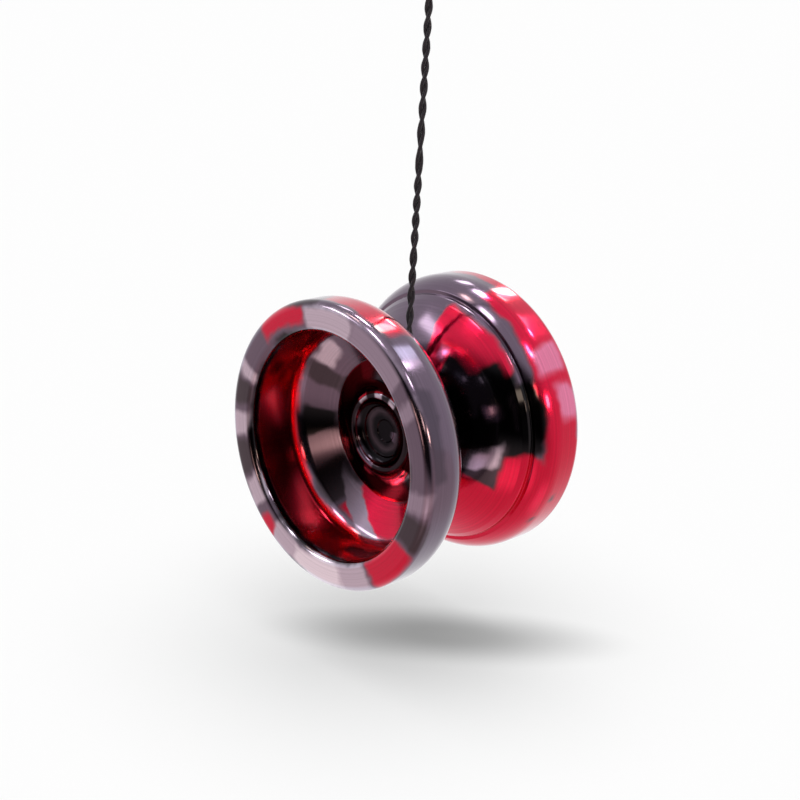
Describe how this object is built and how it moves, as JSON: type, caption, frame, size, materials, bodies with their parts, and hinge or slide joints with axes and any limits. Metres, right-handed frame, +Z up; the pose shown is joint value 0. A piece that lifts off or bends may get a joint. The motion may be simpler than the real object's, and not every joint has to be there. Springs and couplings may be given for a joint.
{
  "type": "yo-yo",
  "caption": "Round metal yo-yo: cupped halves joined on a threaded stud, free to spin on a ball bearing, hanging unwound on a straight twisted string with a finger loop.",
  "frame": {"origin": "centre of the yo-yo: on the spin axis, midway between the halves, at the middle of the bearing", "axes": "+Y along the spin axis from the front half to the rear half, +Z up along the hanging string, +X to the right seen from the front"},
  "size_m": [0.056, 0.0412, 0.1392],
  "materials": {
    "anodised_metal": "polished, splash anodised in red, near-black and smoky grey",
    "steel": "ground and polished bearing steel",
    "retainer": "pressed ball cage",
    "silicone": "matt translucent silicone",
    "cord": "black spun polyester, two plies twisted"
  },
  "bodies": {
    "string_and_race": {"string": "cord", "string_bearing_loop": "cord", "string_knot": "cord", "finger_loop": "cord", "bearing_outer_ring": "steel", "front_shield": "steel", "rear_shield": "steel", "front_snap_ring": "steel", "rear_snap_ring": "steel"},
    "rotor": {"front_half": "anodised_metal", "axle_stud": "steel", "bearing_inner_ring": "steel", "front_response_pad": "silicone"},
    "ball_set": {"ball_1": "steel", "ball_2": "steel", "ball_3": "steel", "ball_4": "steel", "ball_5": "steel", "ball_6": "steel", "ball_7": "steel", "ball_8": "steel", "ball_retainer": "retainer"},
    "rear_carrier": {"rear_response_pad": "silicone"},
    "rear_half": {"rear_half": "anodised_metal"}
  },
  "joints": [
    {"name": "spin", "type": "hinge", "parent": "string_and_race", "child": "rotor", "pos_m": [0, 0, 0], "axis": [0, 1, 0], "continuous": true},
    {"name": "ball_set_spin", "type": "hinge", "parent": "string_and_race", "child": "ball_set", "pos_m": [0, 0, 0], "axis": [0, 1, 0], "continuous": true},
    {"name": "rear_half_travel", "type": "slide", "parent": "rotor", "child": "rear_carrier", "axis": [0, 1, 0], "range_m": [0, 0.00425]},
    {"name": "rear_half_unscrew", "type": "hinge", "parent": "rear_carrier", "child": "rear_half", "pos_m": [0, 0, 0], "axis": [0, 1, 0], "range_deg": [0, 2160]}
  ],
  "couplings": [
    {"joint": "ball_set_spin", "follows": "spin", "ratio": 0.4167},
    {"joint": "rear_half_travel", "follows": "rear_half_unscrew", "m_per_rad": 0.00011141}
  ]
}
